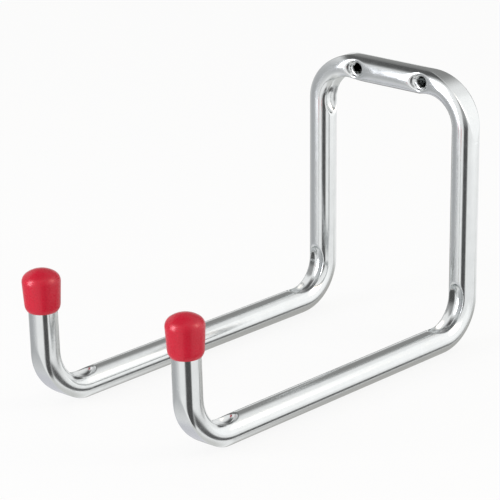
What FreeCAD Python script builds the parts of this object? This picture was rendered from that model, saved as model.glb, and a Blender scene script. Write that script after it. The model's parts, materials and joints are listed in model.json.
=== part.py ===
import FreeCAD, Part
import math
import os

# Tube stock
tube_d = 16.0
wall = 1.5

# Bent form: distances between tube axes, and bend radii at the axis
leg_spacing = 107.0
bar_to_arm = 146.0
leg_to_tip = 233.0
tip_length = 70.6
tip_lean_deg = 2.0
top_bend_r = 23.5
rear_bend_r = 22.5
tip_bend_r = 28.0

# Round-ended groove that the bending former crushes into the inside of every bend
groove_r = 5.0
groove_depth = 4.6
groove_edge_r = 0.8

# Flat that the stretch leaves on the outside of the top and tip bends
facet_depth = 2.8
facet_runout_share = 0.7

# Screw holes, each in a dimple pressed into the front of the bar
hole_d = 6.5
hole_to_bend = 6.0
dimple_mouth_d = 17.0
dimple_mouth_slope_deg = 14.0
dimple_floor_d = 8.4
dimple_depth = 3.6
dimple_edge_r = 0.6

# Soft push-on end caps
cap_clearance = 0.05
cap_grip = 19.2
cap_top = 4.4
cap_dome = 4.8
cap_mouth_wall = 1.65
cap_shoulder_wall = 2.75
cap_shoulder_edge_r = 5.2
cap_lip_flat = 0.45
cap_lip_r = 6.0

# How near an edge's sample points lie to a skin that the edge is on
touch = 1e-4
edge_samples = 7

# Values worked out from the sizes above
tube_r = tube_d / 2
hole_from_middle = leg_spacing / 2 - top_bend_r - hole_to_bend
tip_turn_deg = 90.0 - tip_lean_deg
tip_setback = tip_bend_r * math.tan(math.radians(tip_turn_deg / 2))
right, down, out, up = (
    FreeCAD.Vector(1, 0, 0),
    FreeCAD.Vector(0, 0, -1),
    FreeCAD.Vector(0, -1, 0),
    FreeCAD.Vector(0, 0, 1),
)
# The wall is the plane Y = 0, and the origin lies on it midway between the screw holes.
bar_middle = out * tube_r


class Bend:
    """One bend of the tube: its centre, its axis, the arms to its ends and middle, and its turn."""

    def __init__(self, centre, axis, start_arm, bend_r, turn_deg):
        self.centre = centre
        self.axis = axis
        self.bend_r = bend_r
        self.turn_deg = turn_deg
        self.half_turn = math.radians(turn_deg / 2)
        self.start_arm = start_arm
        self.middle_arm = self.turned(turn_deg / 2, start_arm)
        self.end_arm = self.turned(turn_deg, start_arm)

    def turned(self, angle_deg, direction):
        """A direction turned about the bend's axis."""
        return FreeCAD.Rotation(self.axis, angle_deg).multVec(direction)

    def tangent_runout(self, depth):
        """How far along the straights an arc this deep under the skin's middle touches the skin."""
        return depth * math.sin(self.half_turn) / (1 - math.cos(self.half_turn))

    def arc_under_skin(self, skin_r, depth, runout):
        """Centre and radius of an arc under the bend's outer skin.

        The arc is deepest half way round, and comes out of the skin on the straights, at the given
        runout past the bend's ends. skin_r is the skin's own radius about the bend's centre.
        """
        end_x = skin_r * math.cos(self.half_turn) - runout * math.sin(self.half_turn)
        end_y = skin_r * math.sin(self.half_turn) + runout * math.cos(self.half_turn)
        middle_r = skin_r - depth
        shift = (middle_r**2 - end_x**2 - end_y**2) / (2 * (middle_r - end_x))
        return self.centre + self.middle_arm * shift, middle_r - shift


class Bender:
    """Lays a rod of one radius along the tube's axis, run by run and bend by bend."""

    def __init__(self, radius, start, heading, side):
        self.radius = radius
        self.end = start
        self.heading = heading
        self.side = side
        self.lengths = []
        self.bends = []

    def section(self):
        """Round section at the rod's end; its seam lies to the side, where nothing is pressed."""
        circle = Part.Circle(self.end, self.heading, self.radius)
        circle.XAxis = self.side
        return Part.Face(Part.Wire(circle.toShape()))

    def run(self, length):
        """Go straight on."""
        step = self.heading * length
        self.lengths.append(self.section().extrude(step))
        self.end = self.end + step

    def bend(self, bend_r, turn_deg, toward):
        """Turn towards a direction at right angles to the heading."""
        centre = self.end + toward * bend_r
        self.side = self.heading.cross(toward)
        bend = Bend(centre, self.side, -toward, bend_r, turn_deg)
        self.bends.append(bend)
        self.lengths.append(self.section().revolve(centre, self.side, turn_deg))
        self.end = centre + bend.turned(turn_deg, self.end - centre)
        self.heading = bend.turned(turn_deg, self.heading)

    def rod(self):
        """All the lengths joined into one solid."""
        return self.lengths[0].multiFuse(self.lengths[1:]).Solids[0]


def bend_half(radius):
    """Right half of the hook as a rod: from the bar's middle down the leg and out to the tip."""
    bender = Bender(radius, bar_middle, right, -out)
    bender.run(leg_spacing / 2 - top_bend_r)
    bender.bend(top_bend_r, 90, down)
    bender.run(bar_to_arm - top_bend_r - rear_bend_r)
    bender.bend(rear_bend_r, 90, out)
    bender.run(leg_to_tip - rear_bend_r - tip_setback)
    bender.bend(tip_bend_r, tip_turn_deg, up)
    bender.run(tip_length - tip_setback)
    return bender


def ball(centre, radius, axis, seam_side):
    """Ball turned about an axis, with its seam on the given side."""
    low = centre - axis * radius
    high = centre + axis * radius
    arc = Part.Arc(low, centre + seam_side * radius, high).toShape()
    half_disc = Part.Face(Part.Wire([arc, Part.makeLine(high, low)]))
    return half_disc.revolve(centre, axis, 360)


def groove_tools(bend, grow):
    """Ball of the former swept along the inside of a bend, from end to end; grow thickens it."""
    ball_r = groove_r + grow
    sweep_r = bend.bend_r - tube_r + groove_depth - groove_r
    start = bend.centre + bend.start_arm * sweep_r
    end = bend.centre + bend.end_arm * sweep_r
    circle = Part.Circle(start, bend.axis.cross(bend.start_arm), ball_r)
    circle.XAxis = -bend.start_arm
    sweep = Part.Face(Part.Wire(circle.toShape())).revolve(bend.centre, bend.axis, bend.turn_deg)
    return [
        sweep,
        ball(start, ball_r, bend.axis, -bend.start_arm),
        ball(end, ball_r, bend.axis, -bend.end_arm),
    ]


def facet_cutter(bend, grow):
    """Sector of a ring that takes the crown off the outside of a bend; grow moves it inwards."""
    skin_r = bend.bend_r + tube_r
    runout = facet_runout_share * bend.tangent_runout(facet_depth)
    centre, flat_r = bend.arc_under_skin(skin_r, facet_depth, runout)
    near = centre + bend.start_arm * (flat_r - grow)
    far = near + bend.start_arm * tube_d
    side = bend.axis * tube_d
    corners = [near - side, far - side, far + side, near + side, near - side]
    return Part.Face(Part.makePolygon(corners)).revolve(centre, bend.axis, bend.turn_deg)


def dimple_punch(grow):
    """Bell that presses the front wall in around the right screw hole; grow thickens it all round.

    Its side is an arc that leaves the bar's front at the mouth's slope and steepens to the floor.
    """
    mouth_r = dimple_mouth_d / 2
    reach = mouth_r - dimple_floor_d / 2
    slope = math.radians(dimple_mouth_slope_deg)
    fall = dimple_depth * math.cos(slope) - reach * math.sin(slope)
    flare_r = (reach**2 + dimple_depth**2) / (2 * fall)
    brim_r = mouth_r + flare_r * math.sin(slope)
    centre_depth = flare_r * math.cos(slope)

    front = right * hole_from_middle + out * tube_d
    flare_centre = front + right * brim_r - out * centre_depth
    floor_depth = dimple_depth + grow
    to_floor = math.acos((centre_depth - floor_depth) / (flare_r - grow))

    def on_flare(angle):
        return flare_centre + (out * math.cos(angle) - right * math.sin(angle)) * (flare_r - grow)

    floor = front - out * floor_depth
    clear = front + out * dimple_depth
    flare = Part.Arc(on_flare(to_floor), on_flare(to_floor / 2), on_flare(0)).toShape()
    rest = Part.makePolygon([on_flare(0), clear + right * brim_r, clear, floor, on_flare(to_floor)])
    return Part.Face(Part.Wire([flare] + rest.Edges)).revolve(front, out, 360)


def outline_edges(pressed, rod, tools):
    """Edges of a pressed rod that lie both on the rod's own skin and on a tool's skin."""

    def on(skin, points):
        return max(skin.distToShape(Part.Vertex(point))[0] for point in points) < touch

    found = []
    rod_skin = Part.makeShell(rod.Faces)
    for tool in tools:
        tool_skin = Part.makeShell(tool.Faces)
        for edge in pressed.Edges:
            points = edge.discretize(edge_samples)
            if on(tool_skin, points) and on(rod_skin, points):
                found.append(edge)
    return found


def pressed_half(radius, grow, edges_rounded):
    """Half rod after the presses: flats outside the bends, grooves inside them, and the dimple."""
    bender = bend_half(radius)
    top, rear, tip = bender.bends
    rod = bender.rod().cut([facet_cutter(bend, grow) for bend in (top, tip)]).Solids[0]
    grooves = [tool for bend in (top, rear, tip) for tool in groove_tools(bend, grow)]
    dimple = dimple_punch(grow)
    pressed = rod
    for tool in grooves + [dimple]:
        pressed = pressed.cut(tool).Solids[0]
    if edges_rounded:
        pressed = pressed.makeFillet(groove_edge_r, outline_edges(pressed, rod, grooves))
        pressed = pressed.makeFillet(dimple_edge_r, outline_edges(pressed, rod, [dimple]))
    return pressed


def mirrored_pair(half):
    """A half and its mirror image across the hook's middle plane, joined."""
    other = half.mirror(FreeCAD.Vector(0, 0, 0), right)
    return half.fuse(other)


def hook_tube():
    """The bent tube: pressed skin less pressed bore, with the screw holes through both walls."""
    skin = pressed_half(tube_r, 0, True)
    bore = pressed_half(tube_r - wall, wall, False)
    start = right * hole_from_middle - out * tube_r
    hole = Part.makeCylinder(hole_d / 2, 2 * tube_d, start, out)
    half = skin.cut(bore).cut(hole)
    return mirrored_pair(half).removeSplitter().Solids[0]


def cap_outline():
    """Half section of a cap about the Z axis: a tapered cup under a dome, its floor at Z = 0."""
    bore_r = tube_r + cap_clearance
    top = up * cap_top
    floor = right * bore_r
    mouth = floor + down * cap_grip
    lip_start = mouth + right * cap_lip_flat
    lip = mouth + right * cap_mouth_wall
    shoulder = right * (bore_r + cap_shoulder_wall) + up * (cap_top - cap_dome)
    side = (shoulder - lip).normalize()
    outward = side.cross(out)

    # The lip is an arc that touches the side and rolls in to the flat of the mouth.
    roll = lip_start - lip
    back = roll.dot(side)
    rise = back + math.sqrt(back**2 - roll.dot(roll) - 2 * cap_lip_r * roll.dot(outward))
    lip_end = lip + side * rise
    lip_centre = lip_end - outward * cap_lip_r
    lip_middle = (lip_start - lip_centre + outward * cap_lip_r).normalize()
    lip_edge = Part.Arc(lip_start, lip_centre + lip_middle * cap_lip_r, lip_end)

    # The shoulder's edge is an arc that touches the side and, from inside, the dome.
    dome_r = (shoulder.x**2 + cap_dome**2) / (2 * cap_dome)
    dome_centre = top + down * dome_r
    edge_r = cap_shoulder_edge_r
    from_dome = shoulder - outward * edge_r - dome_centre
    along = from_dome.dot(side)
    climb = math.sqrt(along**2 - from_dome.dot(from_dome) + (dome_r - edge_r) ** 2) - along
    edge_centre = dome_centre + from_dome + side * climb
    upward = (edge_centre - dome_centre).normalize()
    between = (outward + upward).normalize()
    edge_start = edge_centre + outward * edge_r
    edge_end = edge_centre + upward * edge_r
    shoulder_edge = Part.Arc(edge_start, edge_centre + between * edge_r, edge_end)
    dome = Part.Arc(edge_end, dome_centre + (upward + up).normalize() * dome_r, top)

    inside = Part.makePolygon([top, FreeCAD.Vector(0, 0, 0), floor, mouth, lip_start])
    outside = [
        lip_edge.toShape(),
        Part.makeLine(lip_end, edge_start),
        shoulder_edge.toShape(),
        dome.toShape(),
    ]
    return Part.Wire(inside.Edges + outside)


def cap_right():
    """Soft cap turned from its half section and seated on the cut end of the tube."""
    bender = bend_half(tube_r)
    cap = Part.Face(cap_outline()).revolve(FreeCAD.Vector(0, 0, 0), up, 360)
    seat = FreeCAD.Placement(bender.end, FreeCAD.Rotation(up, bender.heading))
    return cap.transformed(seat.toMatrix())


cap = cap_right()
nodes = {
    "hook_tube": hook_tube(),
    "cap_right": cap,
    "cap_left": cap.mirror(FreeCAD.Vector(0, 0, 0), right),
}
os.makedirs("parts", exist_ok=True)
for name, shape in nodes.items():
    shape.exportStep(f"parts/{name}.step")
    print(name, shape.ShapeType, shape.isValid(), round(shape.Volume, 1), "mm3")
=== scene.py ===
"""Bent-tube utility hook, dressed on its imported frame.

Lengths are in metres, in the frame of the solids: the wall is the plane Y = 0, +X runs along the
bar, +Z is up, and the arms reach out along -Y. Sizes written in millimetres carry MM.
"""

import json
import logging
import math
from collections.abc import Iterable
from dataclasses import dataclass, field
from enum import Enum
from typing import Any, ClassVar

import bpy
import numpy as np
from mathutils import Matrix, Vector


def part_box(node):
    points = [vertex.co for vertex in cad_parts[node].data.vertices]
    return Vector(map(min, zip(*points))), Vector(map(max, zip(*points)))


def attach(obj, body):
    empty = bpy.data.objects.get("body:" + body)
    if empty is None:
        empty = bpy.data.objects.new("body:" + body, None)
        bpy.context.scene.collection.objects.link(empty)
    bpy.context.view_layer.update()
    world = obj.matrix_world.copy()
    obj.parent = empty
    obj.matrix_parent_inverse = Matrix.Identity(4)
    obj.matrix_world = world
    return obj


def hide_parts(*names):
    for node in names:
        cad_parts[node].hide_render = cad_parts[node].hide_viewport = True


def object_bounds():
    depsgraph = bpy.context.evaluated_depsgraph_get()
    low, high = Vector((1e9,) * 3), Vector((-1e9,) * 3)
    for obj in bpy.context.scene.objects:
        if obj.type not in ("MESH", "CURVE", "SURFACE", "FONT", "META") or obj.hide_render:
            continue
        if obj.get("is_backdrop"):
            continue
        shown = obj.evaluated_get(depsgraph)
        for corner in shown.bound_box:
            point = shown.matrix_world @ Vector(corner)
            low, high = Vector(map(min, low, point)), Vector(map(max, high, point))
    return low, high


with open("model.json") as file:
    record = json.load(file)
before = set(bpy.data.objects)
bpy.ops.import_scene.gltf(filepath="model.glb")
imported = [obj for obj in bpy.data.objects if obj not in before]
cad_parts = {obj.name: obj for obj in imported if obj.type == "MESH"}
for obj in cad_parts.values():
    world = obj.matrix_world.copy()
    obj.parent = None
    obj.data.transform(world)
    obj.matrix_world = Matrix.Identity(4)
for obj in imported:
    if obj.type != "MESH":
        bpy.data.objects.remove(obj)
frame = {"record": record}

MM = 0.001
RIGHT = Vector((1.0, 0.0, 0.0))
DOWN = Vector((0.0, 0.0, -1.0))
OUT = Vector((0.0, -1.0, 0.0))
UP = Vector((0.0, 0.0, 1.0))
WHITE = (1.0, 1.0, 1.0, 1.0)
# Points as near as this lie in one place, or in one plane.
SAME_PLACE = 0.01 * MM
# Vertices of a shell as near as this are doubles, and are merged.
DOUBLE = 0.002 * MM
# Keeps a length that is divided by from being zero.
TINY = 1e-9
# Most values of a noise texture lie between these two.
NOISE_SPAN = (0.3, 0.7)
# Numbers of the sockets of a mix node that is set to mix colours.
MIX_SHARE = 0
MIX_FIRST = 6
MIX_SECOND = 7
MIX_RESULT = 2
log = logging.getLogger("utility_hook")


class Slot(Enum):
    """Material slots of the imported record."""

    ZINC = "zinc_steel"
    VINYL = "red_vinyl"


class Spacing(Enum):
    """Distance between the rings of a straight run, in metres."""

    FINE = 0.6 * MM
    COARSE = 6.0 * MM


def linear(hex_colour: str) -> tuple[float, float, float, float]:
    """Turn an sRGB hex colour into linear RGBA.

    Args:
        hex_colour: Six hex digits after a hash sign.

    Returns:
        Linear red, green and blue, with an alpha of one.
    """
    channels = [int(hex_colour[i : i + 2], 16) / 255 for i in (1, 3, 5)]
    lit = [c / 12.92 if c <= 0.04045 else ((c + 0.055) / 1.055) ** 2.4 for c in channels]
    return (lit[0], lit[1], lit[2], 1.0)


def add_node(
    tree: bpy.types.NodeTree, kind: str, inputs: dict[str | int, Any] | None = None, **settings: Any
) -> bpy.types.Node:
    """Add a node with its settings, and link or set its inputs.

    Args:
        tree: Node tree that gets the node.
        kind: Blender's type name of the node.
        inputs: Values by input name or number; an output socket is linked, the rest are set.
        **settings: Properties of the node itself.

    Returns:
        The new node.
    """
    node = tree.nodes.new(kind)
    for name, value in settings.items():
        setattr(node, name, value)
    for key, value in (inputs or {}).items():
        if isinstance(value, bpy.types.NodeSocket):
            tree.links.new(value, node.inputs[key])
        else:
            node.inputs[key].default_value = value
    return node


def new_material(name: str) -> tuple[bpy.types.Material, bpy.types.NodeTree]:
    """Make an empty node material.

    Args:
        name: Name of the material.

    Returns:
        The material and its node tree.
    """
    material = bpy.data.materials.new(name)
    material.use_nodes = True
    material.node_tree.nodes.clear()
    return material, material.node_tree


@dataclass(frozen=True)
class BrightZinc:
    """Bright zinc plate on drawn steel tube.

    The eye gets a pale, faintly cool mirror: edges of what it reflects stay readable, a soft cloud
    in the plate changes the sheen from place to place, and hairline draw marks run along the tube.
    """

    name: str = "bright_zinc_plate_on_drawn_steel"
    colour: str = "#E6E8E8"
    cloud_colour: str = "#DADDDD"
    roughness: tuple[float, float] = (0.12, 0.19)
    cloud_size: float = 7.0 * MM
    # Real draw marks are near 0.1 mm apart; these are coarser, so that they show in the render.
    draw_mark_width: float = 0.7 * MM
    draw_mark_depth: float = 0.0025 * MM

    def make(self) -> bpy.types.Material:
        """Build the material.

        Returns:
            The finished material.
        """
        material, tree = new_material(self.name)
        place = add_node(tree, "ShaderNodeTexCoord")
        section = add_node(tree, "ShaderNodeAttribute", attribute_name=BentTube.SECTION)
        cloud = add_node(
            tree,
            "ShaderNodeTexNoise",
            {"Vector": place.outputs["Object"], "Scale": 1 / self.cloud_size, "Detail": 3.0},
        )
        marks = add_node(
            tree,
            "ShaderNodeTexNoise",
            {"Vector": section.outputs["Vector"], "Scale": 1 / self.draw_mark_width, "Detail": 2.0},
        )
        tone = add_node(
            tree,
            "ShaderNodeMix",
            {
                MIX_SHARE: cloud.outputs["Fac"],
                MIX_FIRST: linear(self.colour),
                MIX_SECOND: linear(self.cloud_colour),
            },
            data_type="RGBA",
        )
        sheen = add_node(
            tree,
            "ShaderNodeMapRange",
            {
                "Value": cloud.outputs["Fac"],
                "From Min": NOISE_SPAN[0],
                "From Max": NOISE_SPAN[1],
                "To Min": self.roughness[0],
                "To Max": self.roughness[1],
            },
        )
        bump = add_node(
            tree,
            "ShaderNodeBump",
            {"Height": marks.outputs["Fac"], "Distance": self.draw_mark_depth, "Strength": 1.0},
        )
        shader = add_node(
            tree,
            "ShaderNodeBsdfPrincipled",
            {
                "Base Color": tone.outputs[MIX_RESULT],
                "Roughness": sheen.outputs[0],
                "Normal": bump.outputs["Normal"],
                "Metallic": 1.0,
            },
        )
        add_node(tree, "ShaderNodeOutputMaterial", {"Surface": shader.outputs["BSDF"]})
        return material


@dataclass(frozen=True)
class DippedVinyl:
    """Soft red vinyl, dip-moulded over a former.

    The eye gets a saturated red with a broad satin highlight, the faint orange peel of a dipped
    skin, and a little unevenness in the depth of the colour.
    """

    name: str = "soft_vinyl_dip_moulded"
    colour: str = "#CC1031"
    deep_colour: str = "#BF0F2A"
    roughness: tuple[float, float] = (0.26, 0.31)
    cloud_size: float = 9.0 * MM
    peel_size: float = 1.6 * MM
    peel_depth: float = 0.008 * MM
    ior: float = 1.53
    # Under the usual 0.5: matched to the weak reflections on the real skin.
    specular_level: float = 0.38

    def make(self) -> bpy.types.Material:
        """Build the material.

        Returns:
            The finished material.
        """
        material, tree = new_material(self.name)
        place = add_node(tree, "ShaderNodeTexCoord")
        cloud = add_node(
            tree,
            "ShaderNodeTexNoise",
            {"Vector": place.outputs["Object"], "Scale": 1 / self.cloud_size, "Detail": 2.0},
        )
        peel = add_node(
            tree,
            "ShaderNodeTexNoise",
            {"Vector": place.outputs["Object"], "Scale": 1 / self.peel_size, "Detail": 1.0},
        )
        tone = add_node(
            tree,
            "ShaderNodeMix",
            {
                MIX_SHARE: cloud.outputs["Fac"],
                MIX_FIRST: linear(self.colour),
                MIX_SECOND: linear(self.deep_colour),
            },
            data_type="RGBA",
        )
        sheen = add_node(
            tree,
            "ShaderNodeMapRange",
            {
                "Value": peel.outputs["Fac"],
                "From Min": NOISE_SPAN[0],
                "From Max": NOISE_SPAN[1],
                "To Min": self.roughness[0],
                "To Max": self.roughness[1],
            },
        )
        bump = add_node(
            tree,
            "ShaderNodeBump",
            {"Height": peel.outputs["Fac"], "Distance": self.peel_depth, "Strength": 1.0},
        )
        shader = add_node(
            tree,
            "ShaderNodeBsdfPrincipled",
            {
                "Base Color": tone.outputs[MIX_RESULT],
                "Roughness": sheen.outputs[0],
                "Normal": bump.outputs["Normal"],
                "IOR": self.ior,
                "Specular IOR Level": self.specular_level,
            },
        )
        add_node(tree, "ShaderNodeOutputMaterial", {"Surface": shader.outputs["BSDF"]})
        return material


def soft_max(one: np.ndarray, other: np.ndarray, blend: float) -> np.ndarray:
    """Larger of two heights, with the crease between them rounded.

    Args:
        one: First heights.
        other: Second heights.
        blend: Difference in height below which the two run into each other.

    Returns:
        The rounded larger heights.
    """
    overlap = np.maximum(blend - np.abs(one - other), 0.0) / blend
    return np.maximum(one, other) + overlap**2 * blend / 4


def ball_height(distance: np.ndarray, radius: float, rim_share: float = 0.95) -> np.ndarray:
    """Height of a ball above its middle plane, carried on straight down near its rim.

    Args:
        distance: Distances from the ball's middle in that plane.
        radius: The ball's radius.
        rim_share: Share of the radius at which the straight part starts.

    Returns:
        Heights above the plane, falling on below it outside the ball.
    """
    rim = rim_share * radius
    inside = np.minimum(distance, rim)
    height = np.sqrt(radius**2 - inside**2)
    slope = rim / math.sqrt(radius**2 - rim**2)
    return height - np.maximum(distance - rim, 0.0) * slope


@dataclass(frozen=True)
class Bend:
    """One bend of the tube, and the presses that shape it."""

    centre: Vector
    axis: Vector
    start_arm: Vector
    radius: float
    turn: float

    def turned(self, angle: float) -> Vector:
        """The starting arm, turned by an angle about the bend's axis."""
        return Matrix.Rotation(angle, 3, self.axis) @ self.start_arm

    def locate(self, points: np.ndarray) -> tuple[np.ndarray, np.ndarray, np.ndarray, np.ndarray]:
        """Find where points lie about the bend.

        Args:
            points: Positions, one row each.

        Returns:
            Distance past the bend's nearer end (zero within the bend), height out from the bend's
            centre, distance to the side, and the unit directions in which height is measured.
        """
        axis = np.array(self.axis)
        start_arm = np.array(self.start_arm)
        end_arm = np.array(self.turned(self.turn))
        from_centre = points - np.array(self.centre)
        side = from_centre @ axis
        flat = from_centre - side[:, None] * axis
        before = -flat @ np.cross(axis, start_arm)
        after = flat @ np.cross(axis, end_arm)
        radial = flat / np.maximum(np.linalg.norm(flat, axis=1), TINY)[:, None]
        outward = np.where((after > 0)[:, None], end_arm, radial)
        outward = np.where((before > 0)[:, None], start_arm, outward)
        past = np.maximum(np.maximum(before, after), 0.0)
        return past, (flat * outward).sum(axis=1), side, outward

    def press_groove(self, points: np.ndarray, tube: "BentTube", grow: float) -> None:
        """Press the former's round-ended groove into the inside of the bend.

        Args:
            points: Positions on the tube, moved in place.
            tube: Sizes of the tube and its grooves.
            grow: Thickness added to the former all round.
        """
        past, height, side, outward = self.locate(points)
        sweep = self.radius - tube.radius + tube.groove_depth - tube.groove_r
        end_share = tube.groove_r / tube.groove_end
        former = sweep + ball_height(np.hypot(past * end_share, side), tube.groove_r + grow)
        pressed = soft_max(height, former, tube.groove_blend)
        moved = (height < self.radius) & (past < 2 * tube.radius)
        points += np.where(moved, pressed - height, 0.0)[:, None] * outward

    def press_flat(self, points: np.ndarray, tube: "BentTube", grow: float) -> None:
        """Flatten the outside of the bend along a shallower arc.

        Args:
            points: Positions on the tube, moved in place.
            tube: Sizes of the tube and its flats.
            grow: Depth added to the flat.
        """
        half = self.turn / 2
        middle = self.turned(half)
        skin_r = self.radius + tube.radius
        runout = tube.flat_runout * tube.flat_depth * math.sin(half) / (1 - math.cos(half))
        end_x = skin_r * math.cos(half) - runout * math.sin(half)
        end_y = skin_r * math.sin(half) + runout * math.cos(half)
        deep_r = skin_r - tube.flat_depth
        shift = (deep_r**2 - end_x**2 - end_y**2) / (2 * (deep_r - end_x))
        _, height, side, _ = self.locate(points)
        from_arc = points - np.array(self.centre + middle * shift) - side[:, None] * np.array(self.axis)
        distance = np.linalg.norm(from_arc, axis=1)
        way = from_arc / np.maximum(distance, TINY)[:, None]
        flat_r = deep_r - shift - grow
        pressed = -soft_max(-distance, np.full_like(distance, -flat_r), tube.flat_blend)
        within = (way @ np.array(middle) > math.cos(half)) & (height > self.radius)
        within &= (np.abs(side) < 2 * tube.radius) & (distance < flat_r + 2 * tube.radius)
        points += np.where(within, pressed - distance, 0.0)[:, None] * way


class TubeLayer:
    """Lays a ring of vertices along the tube's axis in edit mode, run by run and bend by bend."""

    def __init__(self, name: str, radius: float, columns: int, start: Vector, heading: Vector) -> None:
        """Add the first ring and go into edit mode with it selected.

        Args:
            name: Name of the new object.
            radius: Radius of the ring.
            columns: Number of vertices round the ring.
            start: Middle of the first ring.
            heading: Direction in which the tube sets out.
        """
        self.end = start.copy()
        self.heading = heading.copy()
        self.bends: list[Bend] = []
        bpy.ops.object.select_all(action="DESELECT")
        turn = UP.rotation_difference(heading).to_euler()
        bpy.ops.mesh.primitive_circle_add(vertices=columns, radius=radius, location=start, rotation=turn)
        self.piece = bpy.context.object
        self.piece.name = self.piece.data.name = name
        bpy.ops.object.transform_apply(location=True, rotation=True, scale=True)
        section = self.piece.data.attributes.new(BentTube.SECTION, "FLOAT_VECTOR", "POINT")
        for vertex in self.piece.data.vertices:
            section.data[vertex.index].vector = vertex.co - start
        bpy.ops.object.mode_set(mode="EDIT")
        bpy.ops.mesh.select_mode(type="EDGE")
        bpy.ops.mesh.select_all(action="SELECT")

    def run(self, length: float, fine_start: float = 0.0, fine_end: float = 0.0, ease: float = 1.0) -> None:
        """Go straight on, with closer rings at the ends.

        Args:
            length: Length of the run.
            fine_start: Length at its start that gets close rings.
            fine_end: Length at its end that gets close rings.
            ease: Factor on the ring spacing.
        """
        middle = length - fine_start - fine_end
        lengths = (fine_start, Spacing.FINE), (middle, Spacing.COARSE), (fine_end, Spacing.FINE)
        for part, spacing in lengths:
            # A whole number of spacings isn't rounded up to one more.
            rings = math.ceil(part / (spacing.value * ease) - 1e-6)
            for _ in range(rings):
                step = self.heading * (part / rings)
                bpy.ops.mesh.extrude_region_move(TRANSFORM_OT_translate={"value": step})
        self.end = self.end + self.heading * length

    def bend(self, radius: float, turn: float, toward: Vector, steps: int) -> None:
        """Turn towards a direction at right angles to the heading.

        Args:
            radius: Bend radius at the tube's axis.
            turn: Angle of the bend.
            toward: Direction that the bend turns to.
            steps: Number of rings in the bend.
        """
        centre = self.end + toward * radius
        axis = self.heading.cross(toward)
        self.bends.append(Bend(centre, axis, -toward, radius, turn))
        # The spin tool counts its angle clockwise about the axis.
        bpy.ops.mesh.spin(steps=steps, angle=-turn, center=centre, axis=axis)
        rotation = Matrix.Rotation(turn, 3, axis)
        self.end = centre + rotation @ (self.end - centre)
        self.heading = rotation @ self.heading

    def close(self) -> bpy.types.Object:
        """Leave edit mode and give the laid piece."""
        bpy.ops.object.mode_set(mode="OBJECT")
        return self.piece


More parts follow.
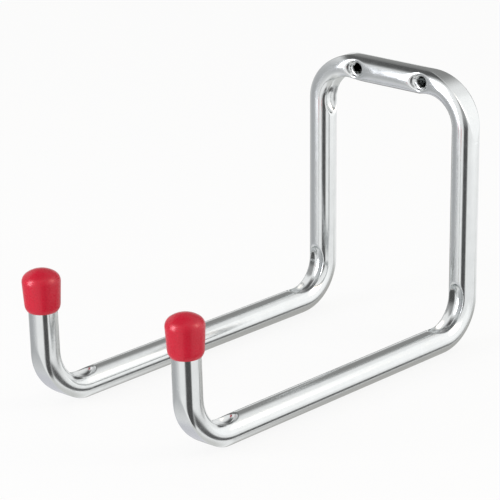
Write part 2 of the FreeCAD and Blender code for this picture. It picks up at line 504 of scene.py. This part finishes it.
@dataclass
class BentTube:
    """The steel tube: bar, legs, arms and tips in one bent length, pressed where it bends."""

    # Attribute with each vertex's place in the first ring, which its whole line along the tube keeps.
    SECTION: ClassVar[str] = "section"

    radius: float
    leg_x: float
    arm_z: float
    tip_y: float
    hole_r: float
    hole_x: float
    wall: float = 1.5 * MM
    tip_length: float = 70.6 * MM
    tip_lean: float = math.radians(2.0)
    top_bend_r: float = 23.5 * MM
    rear_bend_r: float = 22.5 * MM
    tip_bend_r: float = 28.0 * MM
    groove_r: float = 5.0 * MM
    groove_depth: float = 4.6 * MM
    # Length over which a groove runs out past its bend, longer than a ball end of its own radius.
    groove_end: float = 8.0 * MM
    groove_blend: float = 3.0 * MM
    flat_depth: float = 2.8 * MM
    flat_runout: float = 0.7
    flat_blend: float = 0.35 * MM
    dimple_mouth_r: float = 8.5 * MM
    dimple_mouth_slope: float = math.radians(14.0)
    dimple_floor_r: float = 4.2 * MM
    dimple_depth: float = 3.6 * MM
    dimple_blend: float = 1.6 * MM
    dimple_reach: float = 20.0 * MM
    hole_lip: float = 0.6 * MM
    columns: int = 112
    bore_columns: int = 40
    bend_steps: int = 44
    bore_bend_steps: int = 16
    bore_ease: float = 2.5
    hole_columns: int = 48
    fine_reach: float = 15.0 * MM
    sharp_edge: float = math.radians(40.0)
    piece: bpy.types.Object | None = field(default=None, init=False)

    @classmethod
    def from_frame(cls) -> "BentTube":
        """Take the tube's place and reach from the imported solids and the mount.

        Returns:
            The tube, not yet built.
        """
        low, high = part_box("hook_tube")
        mount = frame["record"]["mounts"][0]["dims"]
        radius = high.z
        # The tips' cut ends reach furthest out; tip_y is the corner of arm and tip, from the bar's axis.
        overhang = radius + cls.tip_length * math.sin(cls.tip_lean) + radius * math.cos(cls.tip_lean)
        return cls(
            radius=radius,
            leg_x=high.x - radius,
            arm_z=low.z + radius,
            tip_y=low.y + overhang,
            hole_r=mount["hole_r_mm"] * MM,
            hole_x=mount["spacing_x_mm"] * MM / 2,
        )

    @property
    def bar_middle(self) -> Vector:
        """Middle of the bar, on its axis."""
        return OUT * self.radius

    @property
    def tip_turn(self) -> float:
        """Angle of the bend between arm and tip."""
        return math.pi / 2 - self.tip_lean

    @property
    def tip_setback(self) -> float:
        """Distance from the tip bend's ends to the corner of its axes."""
        return self.tip_bend_r * math.tan(self.tip_turn / 2)

    @property
    def tip_end(self) -> Vector:
        """Middle of the right tip's cut end."""
        corner = Vector((self.leg_x, -self.radius + self.tip_y, self.arm_z))
        return corner + self.tip_heading * self.tip_length

    @property
    def tip_heading(self) -> Vector:
        """Direction in which a tip points."""
        return UP * math.cos(self.tip_lean) + OUT * math.sin(self.tip_lean)

    def lay_half(self, name: str, radius: float, columns: int, steps: int, ease: float) -> TubeLayer:
        """Lay the right half of the tube as a plain skin of one radius.

        Args:
            name: Name of the new object.
            radius: Radius of the skin.
            columns: Vertices round it.
            steps: Rings in each bend.
            ease: Factor on the ring spacing of the runs.

        Returns:
            The layer that holds the skin and its bends.
        """
        near = self.fine_reach
        layer = TubeLayer(name, radius, columns, self.bar_middle, RIGHT)
        layer.run(self.leg_x - self.top_bend_r, fine_end=self.leg_x - self.top_bend_r, ease=ease)
        layer.bend(self.top_bend_r, math.pi / 2, DOWN, steps)
        layer.run(-self.arm_z - self.top_bend_r - self.rear_bend_r, near, near, ease)
        layer.bend(self.rear_bend_r, math.pi / 2, OUT, steps)
        layer.run(-self.tip_y - self.rear_bend_r - self.tip_setback, near, near, ease)
        layer.bend(self.tip_bend_r, self.tip_turn, UP, steps)
        layer.run(self.tip_length - self.tip_setback, fine_start=near, ease=ease)
        layer.close()
        return layer

    def press(self, layer: TubeLayer, grow: float) -> None:
        """Press the flats, grooves and screw dimple into a laid skin.

        Args:
            layer: The skin and its bends.
            grow: Thickness added to every tool.
        """
        mesh = layer.piece.data
        points = np.empty(len(mesh.vertices) * 3)
        mesh.vertices.foreach_get("co", points)
        points = points.reshape(-1, 3)
        top, rear, tip = layer.bends
        for bend in (top, tip):
            bend.press_flat(points, self, grow)
        for bend in (top, rear, tip):
            bend.press_groove(points, self, grow)
        self.press_dimple(points, grow)
        mesh.vertices.foreach_set("co", points.ravel())
        mesh.update()

    def press_dimple(self, points: np.ndarray, grow: float) -> None:
        """Press the bell round a screw hole into the front of the bar.

        The bell's side is an arc that leaves the bar's front at the mouth's slope and steepens to
        the floor. Past the mouth it goes on straight, so that the blend dies away along the bar.

        Args:
            points: Positions on the tube, moved in place.
            grow: Thickness added to the bell.
        """
        reach = np.hypot(points[:, 0] - self.hole_x, points[:, 2])
        width = self.dimple_mouth_r - self.dimple_floor_r
        rise, run = math.sin(self.dimple_mouth_slope), math.cos(self.dimple_mouth_slope)
        flare_r = (width**2 + self.dimple_depth**2) / (2 * (self.dimple_depth * run - width * rise))
        from_brim = np.clip(self.dimple_mouth_r + flare_r * rise - reach, flare_r * rise, flare_r - grow)
        flare = flare_r * run - np.sqrt(np.maximum((flare_r - grow) ** 2 - from_brim**2, 0.0))
        past = np.maximum(reach - self.dimple_mouth_r, 0.0)
        depth = np.minimum(flare, self.dimple_depth + grow) - past * rise / run
        pressed = soft_max(points[:, 1], depth - 2 * self.radius, self.dimple_blend)
        # Only the bar's front is pressed: arms and tips, which stand further out, stay as they are.
        front = (points[:, 1] < -self.radius) & (reach < self.dimple_reach)
        points[:, 1] = np.where(front, pressed, points[:, 1])

    def hole_cutter(self) -> bpy.types.Object:
        """Turn the tool that cuts a screw hole, flared where it leaves the dimple's floor.

        Returns:
            The tool for the right hole, standing in its place.
        """
        clear_y = -2.5 * self.radius
        floor_y = -2 * self.radius + self.dimple_depth
        rings = [(clear_y, self.hole_lip), (floor_y - self.hole_lip / 2, self.hole_lip)]
        for angle in range(15, 91, 15):
            rise = math.sin(math.radians(angle))
            rings.append((floor_y + self.hole_lip * rise, self.hole_lip * (1 - rise)))
        rings.append((self.radius, 0.0))
        profile = [(y, self.hole_r + flare) for y, flare in rings]
        cutter = turned_piece("hole_cutter", profile, self.hole_columns)
        upright_to_wall = Matrix.Rotation(-math.pi / 2, 4, "X")
        cutter.matrix_world = Matrix.Translation(RIGHT * self.hole_x) @ upright_to_wall
        apply_place(cutter)
        face_outwards(cutter)
        return cutter

    def build(self) -> bpy.types.Object:
        """Lay, press, join, mirror and drill the tube.

        Returns:
            The finished piece.
        """
        skin = self.lay_half("bent_tube", self.radius, self.columns, self.bend_steps, 1.0)
        self.press(skin, 0.0)
        face_outwards(skin.piece)
        bore = self.lay_half(
            "bent_tube_bore",
            self.radius - self.wall,
            self.bore_columns,
            self.bore_bend_steps,
            self.bore_ease,
        )
        self.press(bore, self.wall)
        face_outwards(bore.piece, inside=True)
        self.piece = join([skin.piece, bore.piece])
        self.close_tip_ends()
        mirror = self.piece.modifiers.new("other_half", "MIRROR")
        mirror.merge_threshold = SAME_PLACE
        apply_modifiers(self.piece)
        cutter = self.hole_cutter()
        for side in (1, -1):
            drill = self.piece.modifiers.new("screw_hole", "BOOLEAN")
            drill.operation = "DIFFERENCE"
            drill.solver = "EXACT"
            drill.object = cutter
            apply_modifiers(self.piece)
            cutter.data.transform(Matrix.Translation(RIGHT * (-2 * self.hole_x * side)))
        bpy.data.objects.remove(cutter)
        smooth(self.piece, self.sharp_edge)
        return self.piece

    def on_cut_end(self, point: Vector) -> bool:
        """Whether a point lies in the plane of the right tip's cut end, close to its middle."""
        away = point - self.tip_end
        return abs(away.dot(self.tip_heading)) < SAME_PLACE and away.length < 2 * self.radius

    def close_tip_ends(self) -> None:
        """Bridge the skin to the bore round the cut end of the tip."""
        select_only(self.piece)
        bpy.ops.object.mode_set(mode="EDIT")
        bpy.ops.mesh.select_all(action="DESELECT")
        bpy.ops.object.mode_set(mode="OBJECT")
        mesh = self.piece.data
        for edge in mesh.edges:
            edge.select = all(self.on_cut_end(mesh.vertices[i].co) for i in edge.vertices)
        bpy.ops.object.mode_set(mode="EDIT")
        bpy.ops.mesh.bridge_edge_loops()
        bpy.ops.object.mode_set(mode="OBJECT")

    def dress(self, finish: BrightZinc) -> None:
        """Give the tube its finish and its place in the frame."""
        dress(self.piece, finish.make(), ["hook_tube"])


@dataclass
class TipCap:
    """A soft cap pushed over a tip: a tapered cup with a dome and a rolled lip."""

    tube: BentTube
    clearance: float = 0.05 * MM
    grip: float = 19.2 * MM
    top: float = 4.4 * MM
    dome: float = 4.8 * MM
    mouth_wall: float = 1.65 * MM
    shoulder_wall: float = 2.75 * MM
    shoulder_edge_r: float = 5.2 * MM
    lip_flat: float = 0.45 * MM
    lip_r: float = 6.0 * MM
    # The floor and the dome start and end with a small ring, which is filled.
    floor_ring_share: float = 0.2
    dome_end: float = math.radians(89.0)
    lip_rings: int = 10
    edge_rings: int = 12
    dome_rings: int = 10
    columns: int = 96
    sharp_edge: float = math.radians(50.0)
    pieces: list[bpy.types.Object] = field(default_factory=list, init=False)

    def profile(self) -> list[tuple[float, float]]:
        """Work out the half section.

        Returns:
            Height and radius of each ring, from the floor down the bore and up the outside.
        """
        bore_r = self.tube.radius + self.clearance
        lip_start = Vector((bore_r + self.lip_flat, -self.grip))
        lip = Vector((bore_r + self.mouth_wall, -self.grip))
        shoulder = Vector((bore_r + self.shoulder_wall, self.top - self.dome))
        side = (shoulder - lip).normalized()
        outward = Vector((side.y, -side.x))
        taper = math.atan2(side.x, side.y)
        rings = [(0.0, self.floor_ring_share * bore_r), (0.0, bore_r), (-self.grip, bore_r)]

        roll = lip_start - lip
        back = roll.dot(side)
        rise = back + math.sqrt(back**2 - roll.length_squared - 2 * self.lip_r * roll.dot(outward))
        lip_centre = lip + side * rise - outward * self.lip_r
        from_centre = lip_start - lip_centre
        lip_angle = math.atan2(from_centre.y, from_centre.x)
        rings += arc(lip_centre, self.lip_r, lip_angle, -taper, self.lip_rings)

        dome_r = (shoulder.x**2 + self.dome**2) / (2 * self.dome)
        dome_centre = Vector((0.0, self.top - dome_r))
        edge_r = self.shoulder_edge_r
        from_dome = shoulder - outward * edge_r - dome_centre
        along = from_dome.dot(side)
        climb = math.sqrt(along**2 - from_dome.length_squared + (dome_r - edge_r) ** 2) - along
        to_edge = from_dome + side * climb
        tilt = math.atan2(to_edge.y, to_edge.x)
        rings += arc(dome_centre + to_edge, edge_r, -taper, tilt, self.edge_rings)
        rings += arc(dome_centre, dome_r, tilt, self.dome_end, self.dome_rings)[1:]
        return rings

    def build(self) -> list[bpy.types.Object]:
        """Turn the right cap, seat it on the tip, and copy it to the left.

        Returns:
            The two finished caps.
        """
        right = turned_piece("tip_cap_right", self.profile(), self.columns)
        turn = UP.rotation_difference(self.tube.tip_heading).to_matrix().to_4x4()
        right.matrix_world = Matrix.Translation(self.tube.tip_end) @ turn
        apply_place(right)
        face_outwards(right)
        smooth(right, self.sharp_edge)
        left = right.copy()
        left.data = right.data.copy()
        left.name = left.data.name = "tip_cap_left"
        bpy.context.collection.objects.link(left)
        left.data.transform(Matrix.Translation(RIGHT * (-2 * self.tube.leg_x)))
        self.pieces = [right, left]
        return self.pieces

    def dress(self, finish: DippedVinyl) -> None:
        """Give both caps their finish and their place in the frame.

        Args:
            finish: The vinyl that both share.
        """
        material = finish.make()
        for piece, node in zip(self.pieces, ("cap_right", "cap_left")):
            dress(piece, material, [node])


def arc(centre: Vector, radius: float, start: float, end: float, count: int) -> list[tuple[float, float]]:
    """Points on an arc of a half section.

    Args:
        centre: Radius and height of the arc's centre.
        radius: Radius of the arc.
        start: Angle of the first point above the outward direction.
        end: Angle of the last point.
        count: Number of points.

    Returns:
        Height and radius of each point.
    """
    angles = np.linspace(start, end, count)
    return [(centre.y + radius * math.sin(a), centre.x + radius * math.cos(a)) for a in angles]


def turned_piece(name: str, profile: list[tuple[float, float]], columns: int) -> bpy.types.Object:
    """Turn a closed piece about the Z axis by extruding and scaling one ring.

    Args:
        name: Name of the new object.
        profile: Height and radius of each ring; the first and last are filled.
        columns: Number of vertices round it.

    Returns:
        The new object.
    """
    bpy.ops.object.select_all(action="DESELECT")
    height, radius = profile[0]
    bpy.ops.mesh.primitive_circle_add(
        vertices=columns, radius=radius, fill_type="NGON", location=UP * height
    )
    piece = bpy.context.object
    piece.name = piece.data.name = name
    apply_place(piece)
    bpy.ops.object.mode_set(mode="EDIT")
    bpy.ops.mesh.select_mode(type="EDGE")
    bpy.ops.mesh.select_all(action="SELECT")
    bpy.ops.mesh.region_to_loop()
    for next_height, next_radius in profile[1:]:
        lift = UP * (next_height - height)
        bpy.ops.mesh.extrude_edges_move(TRANSFORM_OT_translate={"value": lift})
        widen = next_radius / radius
        bpy.ops.transform.resize(value=(widen, widen, 1.0), center_override=UP * next_height)
        height, radius = next_height, next_radius
    bpy.ops.mesh.edge_face_add()
    bpy.ops.object.mode_set(mode="OBJECT")
    return piece


def select_only(piece: bpy.types.Object) -> None:
    """Make one object the only selected and active one.

    Args:
        piece: The object.
    """
    bpy.ops.object.select_all(action="DESELECT")
    piece.select_set(True)
    bpy.context.view_layer.objects.active = piece


def apply_place(piece: bpy.types.Object) -> None:
    """Move an object's place and turn into its mesh."""
    select_only(piece)
    bpy.ops.object.transform_apply(location=True, rotation=True, scale=True)


def apply_modifiers(piece: bpy.types.Object) -> None:
    """Apply all of an object's modifiers in order.

    Args:
        piece: The object.
    """
    select_only(piece)
    for modifier in list(piece.modifiers):
        bpy.ops.object.modifier_apply(modifier=modifier.name)


def join(pieces: Iterable[bpy.types.Object]) -> bpy.types.Object:
    """Join objects into the first of them.

    Args:
        pieces: The objects to join.

    Returns:
        The first object, which now holds the meshes of all.
    """
    first, *others = pieces
    select_only(first)
    for other in others:
        other.select_set(True)
    bpy.ops.object.join()
    return first


def face_outwards(piece: bpy.types.Object, inside: bool = False) -> None:
    """Turn all faces of a shell one way, after its doubles are merged.

    Args:
        piece: The shell.
        inside: Whether the faces look inwards, as on the inside of a wall.
    """
    select_only(piece)
    bpy.ops.object.mode_set(mode="EDIT")
    bpy.ops.mesh.select_all(action="SELECT")
    bpy.ops.mesh.remove_doubles(threshold=DOUBLE)
    bpy.ops.mesh.normals_make_consistent(inside=inside)
    bpy.ops.object.mode_set(mode="OBJECT")


def smooth(piece: bpy.types.Object, angle: float) -> None:
    """Shade an object smooth, apart from edges sharper than an angle."""
    select_only(piece)
    bpy.ops.object.shade_smooth_by_angle(angle=angle)


def dress(piece: bpy.types.Object, material: bpy.types.Material, nodes: list[str]) -> None:
    """Give a piece its material, and put it in the frame in the place of its solids.

    Args:
        piece: The finished piece.
        material: Its finish.
        nodes: The solids that the piece replaces.
    """
    piece.data.materials.clear()
    piece.data.materials.append(material)
    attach(piece, "root")
    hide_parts(*nodes)
    log.info("%s: %d vertices, %s", piece.name, len(piece.data.vertices), material.name)


@dataclass(frozen=True)
class Card:
    """A flat studio card that only mirrors see, as a flag or reflector beside a product set."""

    name: str
    middle: Vector
    faces: Vector
    width: float
    height: float
    colour: str
    strength: float = 1.0
    # Share of each half side over which the card fades out to its edge.
    fade: float = 0.3

    def board(self) -> bpy.types.Material:
        """Make the even glow of the card, clear at its edges.

        Returns:
            The finished material.
        """
        material, tree = new_material(self.name + "_board")
        place = add_node(tree, "ShaderNodeTexCoord")
        off = add_node(
            tree,
            "ShaderNodeVectorMath",
            {0: place.outputs["UV"], 1: (0.5, 0.5, 0.0)},
            operation="SUBTRACT",
        )
        away = add_node(tree, "ShaderNodeVectorMath", {0: off.outputs[0]}, operation="ABSOLUTE")
        sides = add_node(tree, "ShaderNodeSeparateXYZ", {0: away.outputs[0]})
        edge = add_node(
            tree, "ShaderNodeMath", {0: sides.outputs["X"], 1: sides.outputs["Y"]}, operation="MAXIMUM"
        )
        cover = add_node(
            tree,
            "ShaderNodeMapRange",
            {
                "Value": edge.outputs[0],
                "From Min": 0.5 * (1 - self.fade),
                "From Max": 0.5,
                "To Min": 1.0,
                "To Max": 0.0,
            },
            interpolation_type="SMOOTHSTEP",
        )
        strength: float | bpy.types.NodeSocket = self.strength
        if self.strength > 1.0:
            # What is brighter than white is so in a first mirror image only: in an image of an
            # image it is plain white, which keeps the metal from sparkling.
            light_path = add_node(tree, "ShaderNodeLightPath")
            fall = add_node(
                tree,
                "ShaderNodeMapRange",
                {
                    "Value": light_path.outputs["Ray Depth"],
                    "From Min": 1.0,
                    "From Max": 2.0,
                    "To Min": self.strength,
                    "To Max": 1.0,
                },
            )
            strength = fall.outputs[0]
        glow = add_node(
            tree, "ShaderNodeEmission", {"Color": linear(self.colour), "Strength": strength}
        )
        clear = add_node(tree, "ShaderNodeBsdfTransparent")
        mix = add_node(
            tree, "ShaderNodeMixShader", {0: cover.outputs[0], 1: clear.outputs[0], 2: glow.outputs[0]}
        )
        add_node(tree, "ShaderNodeOutputMaterial", {"Surface": mix.outputs[0]})
        return material


@dataclass(frozen=True)
class Softbox:
    """A square soft lamp that looks at the object; mirrors see a face that fades out to its edges."""

    name: str
    azimuth: float
    elevation: float
    distance: float
    size: float
    power: float
    face_width: float
    face_height: float
    face_strength: float
    colour: str


@dataclass
class Studio:
    """Pale floor, white surroundings, soft lamps, cards for the metal to mirror, and the camera."""

    floor_z: float
    # The camera was fitted to points on the photograph's outline.
    aim: Vector = field(default_factory=lambda: Vector((-21.6, -109.8, -87.1)) * MM)
    eye: Vector = field(default_factory=lambda: Vector((928.1, -1160.7, 387.0)) * MM)
    roll: float = -0.007
    focal_px: float = 2617.0
    frame_px: float = 500.0
    sensor_mm: float = 36.0
    clip_end: float = 50.0
    floor_size: float = 12.0
    floor_colour: str = "#F4F4F2"
    # Light from the surroundings on the object; eye and mirrors see them at full white.
    surround_strength: float = 0.78
    # Share of plain white in the floor that the eye sees; the rest shows the shadow.
    floor_lift: float = 0.86
    softboxes: tuple[Softbox, ...] = (
        Softbox(
            "softbox_left",
            azimuth=math.radians(-23),
            elevation=math.radians(15),
            distance=1.2,
            size=0.5,
            power=5.6,
            face_width=0.75,
            face_height=1.4,
            face_strength=15.0,
            colour="#F6F7FF",
        ),
        Softbox(
            "softbox_right",
            azimuth=math.radians(118),
            elevation=math.radians(33),
            distance=1.3,
            size=0.5,
            power=2.4,
            face_width=0.9,
            face_height=1.3,
            face_strength=6.5,
            colour="#FFEEDD",
        ),
    )
    cards: tuple[Card, ...] = (
        # White right sides of legs and arms.
        Card(
            "reflector_right", Vector((1.07, 0.67, 0.25)), Vector((-1.0, -0.6, -0.2)),
            width=2.2, height=1.7, colour="#FFFFFF", strength=1.2,
        ),
        # Grey left sides of legs and tips.
        Card(
            "flag_left", Vector((-1.27, -0.59, -0.40)), Vector((0.91, 0.42, 0.0)),
            width=5.3, height=4.2, colour="#B4B5B7", fade=1.0,
        ),
        # Grey band along the top of the arms.
        Card(
            "flag_rear", Vector((-0.81, 0.90, 0.70)), Vector((0.8, -0.9, -0.7)),
            width=2.4, height=1.6, colour="#949493", fade=0.6,
        ),
        # Dark band along the top of the bar.
        Card(
            "flag_top", Vector((-0.45, -0.1, 0.85)), DOWN,
            width=1.7, height=1.7, colour="#5C5C5C", fade=0.75,
        ),
        # Dark patch in the grooves of the tips.
        Card(
            "flag_wall", Vector((0.06, 1.1, 0.28)), Vector((0.0, -1.0, -0.2)),
            width=0.8, height=0.7, colour="#3C3C3C", fade=0.45,
        ),
        # Dark line that runs from the tips round their bends and along the lower side of the arms.
        Card(
            "flag_low", Vector((0.75, 0.35, -0.76)), Vector((-1.0, -0.1, 0.0)),
            width=1.9, height=0.48, colour="#606060", fade=0.45,
        ),
        # Pale, faintly violet flats outside the tip bends.
        Card(
            "flag_low_left", Vector((-0.74, 0.10, -0.80)), Vector((0.7, 0.1, 0.7)),
            width=1.1, height=0.75, colour="#D6D6DC", fade=0.5,
        ),
        # Grey underside of the arms.
        Card(
            "flag_low_rear", Vector((-0.20, 0.80, -0.78)), Vector((0.1, -0.7, 0.7)),
            width=1.9, height=0.8, colour="#B8B7B4", fade=0.4,
        ),
        # Pale underside of the tip bends.
        Card(
            "flag_under", Vector((0.1, -0.2, -0.95)), UP,
            width=1.3, height=1.3, colour="#DCDCDA", fade=0.5,
        ),
        # Dark outlines.
        Card(
            "flag_behind", Vector((-0.86, 0.75, -0.47)), Vector((0.64, -0.71, 0.31)),
            width=1.0, height=1.0, colour="#5C5C5C", fade=0.8,
        ),
        # Dark band down the legs and tips.
        Card(
            "flag_front", Vector((0.42, -0.48, -0.43)), Vector((-0.66, 0.75, 0.0)),
            width=0.48, height=1.0, colour="#545454", fade=0.42,
        ),
        # Softer end of that band in the top bends and rear grooves.
        Card(
            "flag_front_top", Vector((0.43, -0.49, 0.20)), Vector((-0.66, 0.75, 0.0)),
            width=0.46, height=0.8, colour="#A4A4A4", fade=0.5,
        ),
    )

    @staticmethod
    def direction(azimuth: float, elevation: float) -> Vector:
        """Direction with an azimuth from -Y towards +X, and an elevation."""
        flat = math.cos(elevation)
        return Vector((math.sin(azimuth) * flat, -math.cos(azimuth) * flat, math.sin(elevation)))

    def build(self) -> None:
        """Set up the whole studio."""
        scene = bpy.context.scene
        scene.view_settings.view_transform = "Standard"
        self.add_camera(scene)
        self.add_floor()
        self.add_world(scene)
        for box in self.softboxes:
            self.add_softbox(box)
        for card in self.cards:
            self.add_card(card)

    def add_camera(self, scene: bpy.types.Scene) -> None:
        """Put the camera where the photograph was taken from.

        Args:
            scene: The scene that gets the camera.
        """
        camera = bpy.data.cameras.new("photo_camera")
        camera.sensor_width = self.sensor_mm
        camera.lens = self.focal_px / self.frame_px * self.sensor_mm
        camera.clip_end = self.clip_end
        holder = bpy.data.objects.new("photo_camera", camera)
        look = (self.aim - self.eye).to_track_quat("-Z", "Y").to_matrix().to_4x4()
        holder.matrix_world = Matrix.Translation(self.eye) @ look @ Matrix.Rotation(self.roll, 4, "Z")
        scene.collection.objects.link(holder)
        scene.camera = holder

    def add_floor(self) -> None:
        """Lay a pale floor under the arms; mirrors look past it to the surroundings and cards."""
        bpy.ops.object.select_all(action="DESELECT")
        bpy.ops.mesh.primitive_plane_add(size=self.floor_size, location=UP * self.floor_z)
        floor = bpy.context.object
        floor.name = floor.data.name = "studio_floor"
        apply_place(floor)
        material, tree = new_material("pale_floor_paint")
        light_path = add_node(tree, "ShaderNodeLightPath")
        paint = add_node(tree, "ShaderNodeBsdfDiffuse", {"Color": linear(self.floor_colour)})
        lift = add_node(tree, "ShaderNodeEmission", {"Color": WHITE})
        share = add_node(
            tree,
            "ShaderNodeMath",
            {0: light_path.outputs["Is Camera Ray"], 1: self.floor_lift},
            operation="MULTIPLY",
        )
        mix = add_node(
            tree, "ShaderNodeMixShader", {0: share.outputs[0], 1: paint.outputs[0], 2: lift.outputs[0]}
        )
        add_node(tree, "ShaderNodeOutputMaterial", {"Surface": mix.outputs[0]})
        floor.data.materials.append(material)
        floor.visible_glossy = False
        floor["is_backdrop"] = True

    def add_world(self, scene: bpy.types.Scene) -> None:
        """Surround the set with white that eye and mirrors see, and with softer light.

        Args:
            scene: The scene that gets the world.
        """
        world = bpy.data.worlds.new("studio_surround")
        world.use_nodes = True
        tree = world.node_tree
        tree.nodes.clear()
        light_path = add_node(tree, "ShaderNodeLightPath")
        seen = add_node(
            tree,
            "ShaderNodeMath",
            {0: light_path.outputs["Is Camera Ray"], 1: light_path.outputs["Is Glossy Ray"]},
            operation="MAXIMUM",
        )
        seen = add_node(
            tree,
            "ShaderNodeMath",
            {0: seen.outputs[0], 1: light_path.outputs["Is Transmission Ray"]},
            operation="MAXIMUM",
        )
        strength = add_node(
            tree,
            "ShaderNodeMapRange",
            {"Value": seen.outputs[0], "To Min": self.surround_strength, "To Max": 1.0},
        )
        white = add_node(
            tree, "ShaderNodeBackground", {"Color": WHITE, "Strength": strength.outputs[0]}
        )
        add_node(tree, "ShaderNodeOutputWorld", {"Surface": white.outputs[0]})
        scene.world = world

    def add_softbox(self, box: Softbox) -> None:
        """Hang one soft lamp, with a card for the face that mirrors see.

        Args:
            box: The lamp's place, size and light.
        """
        lamp = bpy.data.lights.new(box.name, "AREA")
        lamp.shape = "SQUARE"
        lamp.size = box.size
        lamp.energy = box.power
        lamp.color = linear(box.colour)[:3]
        holder = bpy.data.objects.new(box.name, lamp)
        place = self.aim + self.direction(box.azimuth, box.elevation) * box.distance
        look = (self.aim - place).to_track_quat("-Z", "Y").to_matrix().to_4x4()
        holder.matrix_world = Matrix.Translation(place) @ look
        holder.visible_camera = False
        holder.visible_glossy = False
        bpy.context.scene.collection.objects.link(holder)
        face = Card(
            box.name + "_face",
            place,
            self.aim - place,
            width=box.face_width,
            height=box.face_height,
            colour=box.colour,
            strength=box.face_strength,
            fade=1.0,
        )
        self.add_card(face)

    def add_card(self, card: Card) -> None:
        """Stand up one card that only mirrors see.

        Args:
            card: The card's place, size and colour.
        """
        bpy.ops.object.select_all(action="DESELECT")
        bpy.ops.mesh.primitive_plane_add(size=1.0)
        plane = bpy.context.object
        plane.name = plane.data.name = card.name
        look = card.faces.to_track_quat("Z", "Y").to_matrix().to_4x4()
        stretch = Matrix.Diagonal((card.width, card.height, 1.0, 1.0))
        plane.matrix_world = Matrix.Translation(card.middle) @ look @ stretch
        apply_place(plane)
        plane.data.materials.append(card.board())
        plane.visible_camera = False
        plane.visible_diffuse = False
        plane.visible_shadow = False
        plane.visible_transmission = False
        plane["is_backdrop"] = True


def main() -> None:
    """Build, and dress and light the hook."""
    logging.basicConfig(level=logging.INFO, format="%(name)s %(message)s")
    solid_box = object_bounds()
    tube = BentTube.from_frame()
    tube.build()
    tube.dress(BrightZinc())
    caps = TipCap(tube)
    caps.build()
    caps.dress(DippedVinyl())
    Studio(floor_z=solid_box[0][2]).build()


if __name__ == "__main__":
    main()
